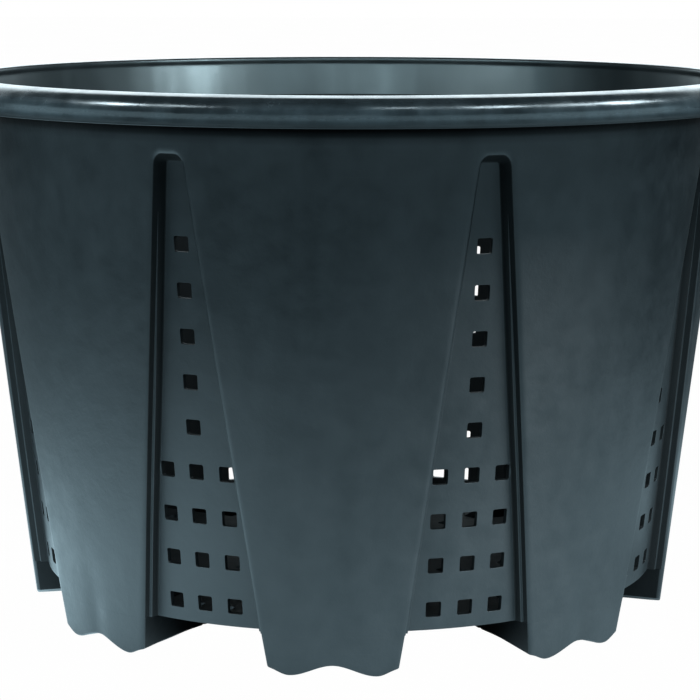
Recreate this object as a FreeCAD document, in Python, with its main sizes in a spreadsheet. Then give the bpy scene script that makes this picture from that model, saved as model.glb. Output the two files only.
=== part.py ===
import FreeCAD, Part
import Sketcher
import os

# Root pruning pot: eight tapering legs, eight set-back vented panels between
# them, a raised floor, hollow wedge feet and a rolled rim.
# Millimetres, +Z up, origin on the ground at the pot's axis.
# Leg 1 faces -Y; legs and panels are numbered anticlockwise seen from above.

V = FreeCAD.Vector
doc = FreeCAD.newDocument("root_pruning_pot")

# ---------------------------------------------------------------- dimensions
DIMS = [
    # overall cone of the legs
    ("pot_height", 300.0),        # ground to the crest of the rim
    ("cone_base", 181.8),         # leg face radius at the ground
    ("cone_rise", 0.11405),       # gain of radius per millimetre of height
    ("wall_thk", 3.0),            # moulded wall
    ("leg_count", 8.0),
    ("leg_top_z", 276.0),         # top of the legs, bottom of the plain band
    # slots and panels
    ("recess", 9.0),              # panel face set back from the leg face
    ("slot_top_z", 271.5),
    ("slot_lo_z", 20.0),          # height of the lower slot section
    ("slot_lo_x", 180.71),        # slot edge on the leg face, lower section
    ("slot_lo_y", 35.16),
    ("slot_draft", 0.60),         # sideways gain of the slot wall per mm outward
    ("slot_lean", 0.302),         # outward lean of the slot's inner ridge
    ("slot_x_out", 260.0),
    ("side_dy", 5.5),             # slot side wall, measured across the slot
    # vents
    ("vent_size", 7.8),
    ("vent_len", 40.0),
    ("vent_top_z", 223.9),
    ("vent_pitch_z", 23.85),
    ("vent_pitch_c", 17.2),
    # floor
    ("floor_z", 22.0),
    ("floor_thk", 3.0),
    ("drain_size", 8.0),
    # feet
    ("foot_low_z", 3.8),          # height of the raised lower corners
    ("foot_a", 178.98),           # outer corner of the foot at that height
    ("foot_b", 34.26),
    ("foot_slope", 0.36),         # narrowing of the foot towards the axis
    ("foot_lean", 0.3255),
    ("foot_corner_lean", 5.21),
    ("foot_a_in", 98.0),          # inner end of the foot
    ("foot_a_out", 192.0),
    ("well_z", 4.0),
    ("well_top_z", 30.0),
    ("well_db", 3.2),
    ("arch_apex_a", 85.0),        # radial arch under each foot
    ("arch_len", 110.0),
    ("arch_rad", 37.9),
    ("arch_tilt", 15.47),
    ("arch_cover", 3.2),
    # rim
    ("rim_z", 285.0),
    ("rim_out", 230.0),
    ("rim_under_z", 296.2),
    ("rim_flat", 216.0),          # outer end of the level top
    ("rim_crown", 221.6),         # corner where the top turns down
    ("rim_crown_z", 299.4),
    ("rim_shoulder_z", 292.8),    # corner where the slope meets the outer face
    ("rim_turn", 220.7),          # underside of the slope, inner end
    ("rim_turn_z", 291.4),        # underside of the slope, outer end
    ("rim_inner_round", 2.4),
    ("rim_crown_round", 15.0),
    ("rim_shoulder_round", 7.8),
    ("rim_edge_round", 2.0),
]
sheet = doc.addObject("Spreadsheet::Sheet", "dims")
for row, (name, value) in enumerate(DIMS, start=1):
    sheet.set("A%d" % row, name)
    sheet.set("B%d" % row, repr(value))
    sheet.setAlias("B%d" % row, name)
doc.recompute()


def dim(name):
    return float(sheet.get(name))


NODES = []          # finished sub-parts, in order


def add(kind, name):
    return doc.addObject(kind, name)


def bind(obj, **props):
    for prop, expr in props.items():
        obj.setExpression(prop, expr)
    return obj


def turned(angle, base=V(0, 0, 0)):
    return FreeCAD.Placement(base, FreeCAD.Rotation(V(0, 0, 1), angle))


def plane(body, role):
    for feat in body.Origin.OriginFeatures:
        if feat.Role == role:
            return feat
    raise RuntimeError(role)


def vee(body, name, z, apex, x_out, slope):
    """Plan triangle with its point on the X axis; sizes are expressions."""
    sk = body.newObject("Sketcher::SketchObject", name)
    sk.AttachmentSupport = [(plane(body, "XY_Plane"), "")]
    sk.MapMode = "FlatFace"
    sk.setExpression("AttachmentOffset.Base.z", z)
    pts = [V(100, 0, 0), V(200, -50, 0), V(200, 50, 0)]
    for i in range(3):
        sk.addGeometry(Part.LineSegment(pts[i], pts[(i + 1) % 3]), False)
    for i in range(3):
        sk.addConstraint(Sketcher.Constraint("Coincident", i, 2, (i + 1) % 3, 1))
    sk.addConstraint(Sketcher.Constraint("Symmetric", 1, 1, 1, 2, -1))
    sk.addConstraint(Sketcher.Constraint("PointOnObject", 0, 1, -1))
    for label, con, expr in (
        ("apex", Sketcher.Constraint("DistanceX", -1, 1, 0, 1, 100.0), apex),
        ("x_out", Sketcher.Constraint("DistanceX", -1, 1, 1, 1, 200.0), x_out),
        ("width", Sketcher.Constraint("DistanceY", 1, 1, 1, 2, 100.0),
         "2 * (%s) * ((%s) - (%s))" % (slope, x_out, apex)),
    ):
        i = sk.addConstraint(con)
        sk.renameConstraint(i, label)
        sk.setExpression("Constraints.%s" % label, expr)
    return sk


def leaning(body, sketch, name, length, lean, down=False):
    """Pad of a sketch along a direction that leans outward by `lean` per mm."""
    pad = body.newObject("PartDesign::Pad", name)
    pad.Profile = sketch
    pad.UseCustomVector = True
    pad.Direction = V(0, 0, -1) if down else V(0, 0, 1)
    pad.setExpression("Direction.x", lean)
    pad.AlongSketchNormal = True
    pad.setExpression("Length", length)
    body.Tip = pad
    doc.recompute()
    return pad


def cone(name, z_lo, z_hi, inset, sweep=360.0, turn=180.0):
    """Frustum of the leg cone, its face set in by `inset` (an expression)."""
    c = add("Part::Cone", name)
    bind(
        c,
        Radius1="dims.cone_base + dims.cone_rise * (%s) - (%s)" % (z_lo, inset),
        Radius2="dims.cone_base + dims.cone_rise * (%s) - (%s)" % (z_hi, inset),
        Height="(%s) - (%s)" % (z_hi, z_lo),
    )
    c.Angle = sweep
    c.Placement = turned(turn)
    c.setExpression("Placement.Base.z", z_lo)
    return c


def boolean(kind, name, base, tool):
    b = add("Part::" + kind, name)
    b.Base = base
    b.Tool = tool
    return b


def group(name, members):
    g = add("Part::Compound", name)
    g.Links = members
    return g


def copied(name, source, angle):
    g = group(name, [source])
    g.Placement = turned(angle)
    return g


def finish(obj, label, angle=None):
    obj.Label = label
    if angle is not None:
        obj.Placement = turned(angle)
    NODES.append(obj)
    return obj


PITCH = 360.0 / dim("leg_count")
FRONT = -90.0

# ------------------------------------------------------------ slot wedges
# The two drafted walls of a slot meet in a ridge line that leans outward, so
# the slot is a vee padded along that line.
slot = add("PartDesign::Body", "slot_wedge")
slot_plan = vee(slot, "slot_plan", "dims.slot_lo_z",
                "dims.slot_lo_x - dims.slot_lo_y / dims.slot_draft",
                "dims.slot_x_out", "dims.slot_draft")
leaning(slot, slot_plan, "slot_pad", "dims.slot_top_z - dims.slot_lo_z", "dims.slot_lean")
# the same wedge grown by the slot's side wall
slot_outer = add("PartDesign::Body", "slot_wall_wedge")
side_plan = vee(slot_outer, "side_plan", "dims.slot_lo_z",
                "dims.slot_lo_x - (dims.slot_lo_y + dims.side_dy) / dims.slot_draft",
                "dims.slot_x_out", "dims.slot_draft")
leaning(slot_outer, side_plan, "side_pad",
        "dims.slot_top_z + dims.wall_thk - dims.slot_lo_z", "dims.slot_lean")

# ------------------------------------------------------------ leg walls
leg_outer = cone("leg_face_cone", "dims.floor_z", "dims.leg_top_z", "0", PITCH, -PITCH / 2)
leg_inner = cone("leg_back_cone", "dims.floor_z - 4", "dims.leg_top_z + 4",
                 "dims.recess + dims.wall_thk")
leg_zone = boolean("Cut", "leg_zone", leg_outer, leg_inner)
slot_pair = group("slot_pair", [copied("slot_left", slot, -PITCH / 2),
                                copied("slot_right", slot, PITCH / 2)])
leg_block = boolean("Cut", "leg_block", leg_zone, slot_pair)
leg_room = cone("leg_room_cone", "dims.floor_z - 4", "dims.leg_top_z + 4", "dims.wall_thk")
side_pair = group("side_pair", [copied("side_left", slot_outer, -PITCH / 2),
                                copied("side_right", slot_outer, PITCH / 2)])
leg_hollow = boolean("Cut", "leg_hollow", leg_room, side_pair)
doc.recompute()
for k in range(int(dim("leg_count"))):
    leg = boolean("Cut", "leg_wall_%d" % (k + 1), leg_block, leg_hollow)
    finish(leg, "leg_wall_%d" % (k + 1), FRONT + k * PITCH)

# ------------------------------------------------------------ vent panels
panel_face = cone("panel_face_cone", "dims.floor_z", "dims.slot_top_z", "dims.recess", 60.0, -30.0)
panel_back = cone("panel_back_cone", "dims.floor_z - 4", "dims.slot_top_z + 4",
                  "dims.recess + dims.wall_thk")
panel_zone = boolean("Cut", "panel_zone", panel_face, panel_back)
panel_blank = boolean("Common", "panel_blank", panel_zone, slot)

vents = []
for i in range(9):
    z_mid = dim("vent_top_z") - i * dim("vent_pitch_z")
    r_mid = dim("cone_base") + dim("cone_rise") * z_mid - dim("recess")
    columns = (0,) if i < 5 else (-1, 0, 1)
    for c in columns:
        turn = FreeCAD.Rotation(V(0, 0, 1), c * dim("vent_pitch_c") / r_mid * 180.0 / 3.14159265)
        box = add("Part::Box", "vent_%d_%d" % (i + 1, c + 2))
        bind(box, Length="dims.vent_len", Width="dims.vent_size", Height="dims.vent_size")
        corner = V(r_mid - dim("vent_len") / 2, -dim("vent_size") / 2, 0)
        base = turn.multVec(corner)
        base.z = z_mid - dim("vent_size") / 2
        box.Placement = FreeCAD.Placement(base, turn)
        vents.append(box)
vent_set = group("vent_set", vents)
doc.recompute()
for k in range(int(dim("leg_count"))):
    panel = boolean("Cut", "vent_panel_%d" % (k + 1), panel_blank, vent_set)
    finish(panel, "vent_panel_%d" % (k + 1), FRONT + (k + 0.5) * PITCH)

# ------------------------------------------------------------ feet
foot_wedge = add("PartDesign::Body", "foot_wedge")
foot_plan = vee(foot_wedge, "foot_plan", "dims.foot_low_z",
                "dims.foot_a - dims.foot_b / dims.foot_slope", "dims.foot_a_out", "dims.foot_slope")
leaning(foot_wedge, foot_plan, "foot_pad", "dims.floor_z - dims.foot_low_z", "-dims.foot_lean")
leaning(foot_wedge, foot_plan, "foot_corner", "dims.foot_low_z", "dims.foot_corner_lean", True)
foot_end = add("Part::Box", "foot_end")
bind(foot_end, Length="dims.foot_a_out - dims.foot_a_in", Width="200", Height="dims.floor_z")
foot_end.Placement.Base = V(dim("foot_a_in"), -100, 0)
foot_cut = boolean("Common", "foot_cut", foot_wedge, foot_end)
foot_cone = cone("foot_face_cone", "-4", "dims.floor_z + 4", "0")
foot_blank = boolean("Common", "foot_blank", foot_cut, foot_cone)
well_body = add("PartDesign::Body", "well_body")
well_plan = vee(well_body, "well_plan", "dims.well_z",
                "dims.foot_a - (dims.foot_b - dims.well_db) / dims.foot_slope",
                "dims.foot_a_out", "dims.foot_slope")
leaning(well_body, well_plan, "well_pad", "dims.well_top_z - dims.well_z", "-dims.foot_lean")
well_end = add("Part::Box", "well_end")
bind(well_end, Length="dims.foot_a_out - dims.foot_a_in - dims.wall_thk", Width="200", Height="60")
well_end.Placement.Base = V(dim("foot_a_in") + dim("wall_thk"), -100, -10)
well_wedge = boolean("Common", "well_wedge", well_body, well_end)
well_cone = cone("well_cone", "-4", "dims.well_top_z + 4", "dims.wall_thk")
well = boolean("Common", "well", well_wedge, well_cone)


def arch(name, lift):
    """Cone lying along the foot, which arches its underside."""
    a = add("Part::Cone", name)
    a.Radius1 = 0.0
    bind(a, Radius2="dims.arch_rad", Height="dims.arch_len")
    a.Placement = FreeCAD.Placement(
        V(dim("arch_apex_a"), 0, lift),
        FreeCAD.Rotation(V(0, 1, 0), 90.0 + dim("arch_tilt")),
    )
    return a


arch_cut = arch("arch_under", 0.0)
arch_keep = arch("arch_over", dim("arch_cover"))
well_room = boolean("Cut", "well_room", well, arch_keep)
foot_hollow = boolean("Cut", "foot_hollow", foot_blank, well_room)
doc.recompute()
for k in range(int(dim("leg_count"))):
    foot = boolean("Cut", "foot_%d" % (k + 1), foot_hollow, arch_cut)
    finish(foot, "foot_%d" % (k + 1), FRONT + k * PITCH)

# ------------------------------------------------------------ raised floor
disc = cone("floor_disc", "dims.floor_z", "dims.floor_z + dims.floor_thk",
            "dims.recess + dims.wall_thk")
drains = []


def drain(name, radius, across, angle):
    box = add("Part::Box", name)
    bind(box, Length="dims.drain_size", Width="dims.drain_size", Height="dims.floor_thk * 4")
    turn = FreeCAD.Rotation(V(0, 0, 1), angle)
    base = turn.multVec(V(radius - dim("drain_size") / 2, across - dim("drain_size") / 2, 0))
    base.z = dim("floor_z") - dim("floor_thk")
    box.Placement = FreeCAD.Placement(base, turn)
    drains.append(box)


for k in range(int(dim("leg_count"))):
    mid = FRONT + (k + 0.5) * PITCH
    for j, (radius, across) in enumerate(((154, -18), (154, 0), (154, 18),
                                          (126, -18), (126, 0), (126, 18),
                                          (98, 0), (66, 0))):
        drain("drain_%d_%d" % (k + 1, j + 1), radius, across, mid)
    drain("drain_%d_9" % (k + 1), 40, 0, FRONT + k * PITCH)
    drain("drain_%d_10" % (k + 1), 80, 0, FRONT + k * PITCH)
drain("drain_mid", 0, 0, 0.0)
floor_tools = group("floor_tools", drains + [
    copied("well_copy_%d" % (k + 1), well_wedge, FRONT + k * PITCH)
    for k in range(int(dim("leg_count")))])
base_floor = boolean("Cut", "base_floor", disc, floor_tools)
finish(base_floor, "base_floor")
doc.recompute()


# ------------------------------------------------------------ turned pieces
def ring(name, points):
    """Closed profile of (radius, height) expressions, turned about Z."""
    body = add("PartDesign::Body", name)
    sk = body.newObject("Sketcher::SketchObject", name + "_profile")
    sk.AttachmentSupport = [(plane(body, "XZ_Plane"), "")]
    sk.MapMode = "FlatFace"
    n = len(points)
    start = [V(p[2], p[3], 0) for p in points]
    for i in range(n):
        sk.addGeometry(Part.LineSegment(start[i], start[(i + 1) % n]), False)
    for i in range(n):
        sk.addConstraint(Sketcher.Constraint("Coincident", i, 2, (i + 1) % n, 1))
    for i, (r_expr, z_expr, r0, z0) in enumerate(points):
        a = sk.addConstraint(Sketcher.Constraint("DistanceX", -1, 1, i, 1, r0))
        sk.renameConstraint(a, "rad_%d" % (i + 1))
        sk.setExpression("Constraints.rad_%d" % (i + 1), r_expr)
        b = sk.addConstraint(Sketcher.Constraint("DistanceY", -1, 1, i, 1, z0))
        sk.renameConstraint(b, "lev_%d" % (i + 1))
        sk.setExpression("Constraints.lev_%d" % (i + 1), z_expr)
    doc.recompute()
    rev = body.newObject("PartDesign::Revolution", name + "_turn")
    rev.Profile = sk
    rev.ReferenceAxis = (plane(body, "Z_Axis"), [""])
    rev.Angle = 360.0
    body.Tip = rev
    doc.recompute()
    return body, rev


FACE = "dims.cone_base + dims.cone_rise * "
band, _ = ring("upper_wall", [
    (FACE + "dims.leg_top_z - dims.wall_thk", "dims.leg_top_z", 209.2, 276.0),
    (FACE + "dims.leg_top_z", "dims.leg_top_z", 212.2, 276.0),
    (FACE + "dims.rim_under_z", "dims.rim_under_z", 215.6, 296.2),
    (FACE + "dims.rim_under_z - dims.wall_thk", "dims.rim_under_z", 212.6, 296.2),
])
finish(band, "upper_wall")

# rim: a rolled rim with a level top that turns down over a broad slope into
# an upright outer face, hollow underneath and hanging clear of the wall
section, turn = ring("rim_section", [
    (FACE + "dims.rim_under_z - dims.wall_thk", "dims.rim_under_z", 212.6, 296.2),
    ("dims.rim_turn", "dims.rim_under_z", 220.7, 296.2),
    ("dims.rim_out - dims.wall_thk", "dims.rim_turn_z", 227.0, 291.4),
    ("dims.rim_out - dims.wall_thk", "dims.rim_z", 227.0, 285.0),
    ("dims.rim_out", "dims.rim_z", 230.0, 285.0),
    ("dims.rim_out", "dims.rim_shoulder_z", 230.0, 292.8),
    ("dims.rim_crown", "dims.rim_crown_z", 221.6, 299.4),
    ("dims.rim_flat", "dims.pot_height", 216.0, 300.0),
    (FACE + "dims.pot_height - dims.wall_thk", "dims.pot_height", 213.0, 300.0),
])


def circle_edges(shape, radius, level):
    found = []
    for i, e in enumerate(shape.Edges, start=1):
        c = e.Curve
        if hasattr(c, "Radius") and abs(c.Radius - radius) < 0.05 and abs(c.Center.z - level) < 0.05:
            found.append("Edge%d" % i)
    return found


def rounded(body, base, name, radius_expr, edges):
    f = body.newObject("PartDesign::Fillet", name)
    f.Base = (base, edges)
    f.setExpression("Radius", radius_expr)
    body.Tip = f
    doc.recompute()
    return f


inner_top = dim("cone_base") + dim("cone_rise") * dim("pot_height") - dim("wall_thk")
step = turn
for name, radius, level in (("inner", inner_top, dim("pot_height")),
                            ("crown", dim("rim_crown"), dim("rim_crown_z")),
                            ("shoulder", dim("rim_out"), dim("rim_shoulder_z")),
                            ("edge", dim("rim_out"), dim("rim_z"))):
    step = rounded(section, step, "rim_%s_fillet" % name, "dims.rim_%s_round" % name,
                   circle_edges(step.Shape, radius, level))


def slab(name, z_lo, z_hi):
    """Disc wider than the pot, from one level to another."""
    c = add("Part::Cylinder", name)
    bind(c, Radius="dims.rim_out + 20", Height="(%s) - (%s)" % (z_hi, z_lo))
    c.setExpression("Placement.Base.z", z_lo)
    return c


# the skirt below the underside of the rim is a ring of its own, so that the
# finger gap between it and the wall is open all round
rim = boolean("Common", "rim", section, slab("above_under", "dims.rim_under_z", "dims.pot_height + 5"))
finish(rim, "rim")
skirt = boolean("Common", "rim_skirt", section, slab("below_under", "dims.rim_z - 5", "dims.rim_under_z"))
finish(skirt, "rim_skirt")

# ---------------------------------------------------------------- checks
doc.recompute()
bad = [o.Name for o in doc.Objects if "Invalid" in o.State or "Error" in o.State]
if bad:
    raise RuntimeError("failed objects: %s" % bad)
for node in NODES:
    shape = node.Shape
    if shape.isNull() or not shape.isValid() or not shape.Solids:
        raise RuntimeError("bad shape: %s" % node.Label)

os.makedirs("parts", exist_ok=True)
total = 0.0
for node in NODES:
    node.Shape.exportStep("parts/%s.step" % node.Label)
    box = node.Shape.BoundBox
    total += node.Shape.Volume
    print("%-14s solids %d  volume %9.1f  z %.2f..%.2f" % (
        node.Label, len(node.Shape.Solids), node.Shape.Volume, box.ZMin, box.ZMax))
print("nodes", len(NODES), "volume", round(total, 1))
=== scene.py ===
import bpy
import math
import numpy as np
from mathutils import Vector, Matrix
from mathutils.geometry import delaunay_2d_cdt


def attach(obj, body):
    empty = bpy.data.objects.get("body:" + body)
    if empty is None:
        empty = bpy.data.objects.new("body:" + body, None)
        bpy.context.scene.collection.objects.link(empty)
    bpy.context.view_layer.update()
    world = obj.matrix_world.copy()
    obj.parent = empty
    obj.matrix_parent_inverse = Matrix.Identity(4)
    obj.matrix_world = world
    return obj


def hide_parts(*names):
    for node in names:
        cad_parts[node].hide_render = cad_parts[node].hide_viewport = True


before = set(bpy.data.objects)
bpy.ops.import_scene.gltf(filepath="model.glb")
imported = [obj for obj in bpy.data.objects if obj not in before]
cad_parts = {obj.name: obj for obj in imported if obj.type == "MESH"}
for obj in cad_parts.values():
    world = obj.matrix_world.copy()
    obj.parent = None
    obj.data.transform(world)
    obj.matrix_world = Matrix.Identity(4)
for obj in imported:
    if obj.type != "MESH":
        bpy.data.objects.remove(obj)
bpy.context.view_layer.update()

# Root pruning pot. Shapes below are in millimetres in the frame's own axes and
# are written to the meshes in metres.

# ------------------------------------------------------------------ numbers
COUNT = 8
PITCH = 2.0 * math.pi / COUNT
HALF = PITCH / 2.0
FRONT = -math.pi / 2.0
BASE, RISE = 181.8, 0.11405          # cone of the leg faces
DEEP, WALL = 9.0, 3.0                # panel set back, moulded wall
Z_FLOOR, Z_LEG, Z_SLOT, Z_UNDER, Z_TOP = 22.0, 276.0, 271.4, 296.2, 300.0
RHO, TOPK = 5.4, 0.78                # slot's upper corners, lean of its ceiling
SEG = 256                            # steps of the turned pieces


def face(z):
    return BASE + RISE * z


def slot_half(z):
    """Half width of a slot on the leg face."""
    return 37.504 - 0.10607 * z


def panel_half(z):
    """Half width of the panel, carried out to the leg face."""
    return slot_half(z) - wall_at(z)[3]


def smooth(x):
    x = np.clip(x, 0.0, 1.0)
    return x * x * (3.0 - 2.0 * x)


def rounded(points, radii, steps):
    """Open polyline with its inner corners rounded, a fixed count of points."""
    pts = [np.array(p, float) for p in points]
    out = [pts[0]]
    for i in range(1, len(pts) - 1):
        d0, d1 = pts[i] - pts[i - 1], pts[i + 1] - pts[i]
        l0, l1 = np.linalg.norm(d0), np.linalg.norm(d1)
        d0, d1 = d0 / l0, d1 / l1
        c = float(np.clip(d0 @ d1, -1.0, 1.0))
        turn = math.acos(c)
        n = steps[i - 1]
        if turn < 1e-4:
            for k in range(n + 1):
                out.append(pts[i] + d0 * (k / n - 0.5) * 0.02)
            continue
        t = min(radii[i - 1] * math.tan(turn / 2), 0.48 * l0, 0.48 * l1)
        rad = t / math.tan(turn / 2)
        side = (d1 - d0 * c) / math.sin(turn)
        a = pts[i] - d0 * t
        for k in range(n + 1):
            q = turn * k / n
            out.append(a + rad * (math.sin(q) * d0 + (1 - math.cos(q)) * side))
    out.append(pts[-1])
    return np.array(out)


# ------------------------------------------------ section across a slot wall
# (distance into the slot, depth below the leg face): the face rounds over into
# a steep wall, half way down is a narrow ledge, then a second steep wall
ROUND_FACE, ROUND_WALL = 3.4, 1.6     # reach of the rounded edge along face and wall
MID = 4.5                             # depth of the ledge


def bend(p0, p1, p2, n):
    """Rounded corner with unequal arms."""
    p0, p1, p2 = (np.array(p, float) for p in (p0, p1, p2))
    return [(1 - t) ** 2 * p0 + 2 * t * (1 - t) * p1 + t * t * p2 for t in np.linspace(0, 1, n + 1)]


def wall_at(z):
    """Lateral places of the face corner, both edges of the ledge, the panel corner."""
    run = 0.35 + 1.30 * float(smooth((z - 60.0) / 200.0))
    e = 0.02 + 1.48 * (1 - float(smooth((z - 120.0) / 140.0)))
    return 0.6, 0.6 + run, 0.6 + run + e, 0.6 + 2 * run + e


def split_at(z):
    """Distance into the slot of the inner corner of the ledge."""
    return wall_at(z)[2]


def outer_section(z, steps):
    x0, x1, x2, x3 = wall_at(z)
    k = (x1 - x0) / MID
    first = bend((x0 - ROUND_FACE, 0.0), (x0, 0.0), (x0 + k * ROUND_WALL, ROUND_WALL), steps[0])
    rest = rounded(
        [first[-1], (x1, MID), (x2, MID + 0.1), (x3, DEEP), (x3 + 15.0, DEEP)],
        [0.3, 0.3, 0.9], steps[1:])
    return np.array([(-12.0, 0.0)] + [tuple(q) for q in first] + [tuple(q) for q in rest[1:]])


def inner_section(z, steps):
    x0, x1, x2, x3 = wall_at(z)
    off = 2.4 * float(smooth((36.0 - z) / 13.0))
    lo, hi = WALL, DEEP + WALL
    return rounded(
        [(-18.0, lo), (x0 - 2.8 - off, lo), (x3 - 2.4 - off, hi), (x3 + 15.0, hi)],
        [1.4, 3.0], steps)


LEVELS = np.linspace(16.0, 282.0, 134)
OUT_TABLE = np.array([outer_section(z, (16, 6, 6, 12)) for z in LEVELS])
IN_TABLE = np.array([inner_section(z, (10, 14)) for z in LEVELS])


def into_slot(s, z):
    """How far a point lies inside the slot's outline; s is arc on the leg face.
    The ceiling of a slot leans more than its sides."""
    d1 = slot_half(z) - abs(s)
    d2 = (Z_SLOT - z) * TOPK
    u1, u2 = max(RHO - d1, 0.0), max(RHO - d2, 0.0)
    return max(RHO, min(d1, d2)) - math.hypot(u1, u2)


def depth(table, s, z):
    f = (min(max(z, LEVELS[0]), LEVELS[-1] - 1e-6) - LEVELS[0]) / (LEVELS[1] - LEVELS[0])
    i = int(f)
    f -= i
    sec = table[i] * (1 - f) + table[i + 1] * f
    return float(np.interp(into_slot(s, z), sec[:, 0], sec[:, 1]))


def flute(b, z):
    """Shallow valley that rises from the hump under each leg and fades."""
    return 1.0 * math.exp(-(b / 6.5) ** 2) * float(smooth((62.0 - z) / 52.0))


def r_out(theta, z):
    """Outer radius; theta is measured from the middle of a leg."""
    t = abs(theta)
    r = face(z)
    d = depth(OUT_TABLE, r * (HALF - t), z)
    r -= d + flute(BASE * theta, z)
    return r


def r_in(theta, z):
    t = abs(theta)
    r = face(z)
    return r - depth(IN_TABLE, r * (HALF - t), z)


def place(theta, z, r):
    return np.array((r * math.cos(theta), r * math.sin(theta), z))


def skin_normal(fn, theta, z, sign):
    h = 0.05
    ht = h / 200.0
    zl, zh = z - h, z + h
    a = place(theta + ht, z, fn(theta + ht, z)) - place(theta - ht, z, fn(theta - ht, z))
    b = place(theta, zh, fn(theta, zh)) - place(theta, zl, fn(theta, zl))
    n = np.cross(a, b)
    return sign * n / np.linalg.norm(n)


# ------------------------------------------------------------------ material
def plastic(name, kind):
    """Satin blue-black moulded plastic: the outside, with painted shade under the rim and painted light on the rim's
    face; a lit copy for the inside of the mouth, streaked, with stronger reflections; and a shaded copy, painted
    shade, for the recesses and the inside lower down."""
    inside = kind == "mouth"
    mat = bpy.data.materials.new(name)
    mat.use_nodes = True
    nt = mat.node_tree
    nt.nodes.clear()
    new = nt.nodes.new
    link = nt.links.new
    out = new("ShaderNodeOutputMaterial")
    bsdf = new("ShaderNodeBsdfPrincipled")
    link(bsdf.outputs["BSDF"], out.inputs["Surface"])
    coord = new("ShaderNodeTexCoord")

    def noise(scale, detail, rough, stretch=(1, 1, 1)):
        mp = new("ShaderNodeMapping")
        mp.inputs["Scale"].default_value = stretch
        link(coord.outputs["Object"], mp.inputs["Vector"])
        n = new("ShaderNodeTexNoise")
        n.inputs["Scale"].default_value = scale
        n.inputs["Detail"].default_value = detail
        n.inputs["Roughness"].default_value = rough
        link(mp.outputs["Vector"], n.inputs["Vector"])
        return n.outputs["Fac"]

    def span(value, lo, hi, a, b):
        m = new("ShaderNodeMapRange")
        m.inputs["From Min"].default_value = lo
        m.inputs["From Max"].default_value = hi
        m.inputs["To Min"].default_value = a
        m.inputs["To Max"].default_value = b
        link(value, m.inputs["Value"])
        return m.outputs["Result"]

    def calc(op, a, b):
        m = new("ShaderNodeMath")
        m.operation = op
        for i, v in enumerate((a, b)):
            if isinstance(v, (int, float)):
                m.inputs[i].default_value = v
            else:
                link(v, m.inputs[i])
        return m.outputs[0]

    cloud = noise(11.0, 5.0, 0.6)
    streak = noise(38.0, 2.5, 0.5, (1.0, 1.0, 0.14))
    grain = noise(1100.0, 2.0, 0.5)
    mottle = noise(85.0, 5.0, 0.62)
    rub = noise(26.0, 3.0, 0.55, (1.0, 1.0, 34.0))
    both = calc("ADD", calc("MULTIPLY", cloud, 0.5), calc("MULTIPLY", streak, 0.5))
    col = new("ShaderNodeValToRGB")
    lo, hi = col.color_ramp.elements
    lo.position, hi.position = 0.34, 0.66
    # base colour: full for the outside, darker for the mouth's lit copy, much darker for the shaded copy (painted
    # shade)
    dim = {"outside": 1.0, "mouth": 0.6, "low": 0.30}[kind]
    lo.color = (0.0085 * dim, 0.0112 * dim, 0.0125 * dim, 1)
    hi.color = (0.0150 * dim, 0.0190 * dim, 0.0210 * dim, 1)
    # cloudy, mottled colour with faint level rub marks
    tone = calc("ADD", calc("MULTIPLY", both, 0.55), calc("MULTIPLY", mottle, 0.45))
    link(calc("ADD", tone, calc("MULTIPLY", span(rub, 0.60, 0.72, 0.0, 0.10), span(cloud, 0.45, 0.62, 0.0, 1.0))),
         col.inputs["Fac"])
    if kind != "outside":
        link(col.outputs["Color"], bsdf.inputs["Base Color"])
    if inside:
        rough = span(both, 0.36, 0.62, 0.27, 0.44)
    elif kind == "low":
        rough = span(both, 0.36, 0.62, 0.46, 0.60)
    else:
        # the rim is polished by handling
        sep = new("ShaderNodeSeparateXYZ")
        link(coord.outputs["Object"], sep.inputs["Vector"])
        rim = span(sep.outputs["Z"], 0.287, 0.291, 0.0, 1.0)
        rough = calc("SUBTRACT", span(tone, 0.38, 0.62, 0.34, 0.48), calc("MULTIPLY", rim, 0.20))
    link(rough, bsdf.inputs["Roughness"])
    bump = new("ShaderNodeBump")
    bump.inputs["Strength"].default_value = 0.25 if inside else 0.40
    bump.inputs["Distance"].default_value = 0.0004
    relief = calc("MULTIPLY", streak, 3.4) if inside else calc("MULTIPLY", mottle, 2.0)
    if kind == "outside":
        relief = calc("MULTIPLY", relief, span(rim, 0.0, 1.0, 1.0, 0.35))
    link(calc("ADD", calc("MULTIPLY", grain, 0.15), relief), bump.inputs["Height"])
    link(bump.outputs["Normal"], bsdf.inputs["Normal"])
    bsdf.inputs["IOR"].default_value = 1.5
    bsdf.inputs["Specular Tint"].default_value = (0.78, 0.96, 1.0, 1.0) if inside else (0.93, 0.98, 1.0, 1.0)
    if kind == "outside":
        # painted shade in the hollow under the overhanging rim: the specular tint and the base colour darken towards
        # the rim's lower edge
        hollow = new("ShaderNodeValToRGB")
        stops = hollow.color_ramp.elements
        stops.new(0.40)
        stops.new(0.62)
        for stop, at, v in zip(stops, (0.0, 0.40, 0.62, 0.90), (1.0, 0.72, 0.28, 0.06)):
            stop.position, stop.color = at, (0.93 * v, 0.98 * v, v, 1.0)
        link(calc("MULTIPLY", span(sep.outputs["Z"], 0.2755, 0.2835, 0.0, 1.0),
                  span(sep.outputs["Z"], 0.2846, 0.2852, 1.0, 0.0)), hollow.inputs["Fac"])
        link(hollow.outputs["Color"], bsdf.inputs["Specular Tint"])
        shaded_base_colour = new("ShaderNodeVectorMath")
        shaded_base_colour.operation = "MULTIPLY"
        link(col.outputs["Color"], shaded_base_colour.inputs[0])
        link(hollow.outputs["Color"], shaded_base_colour.inputs[1])
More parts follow.
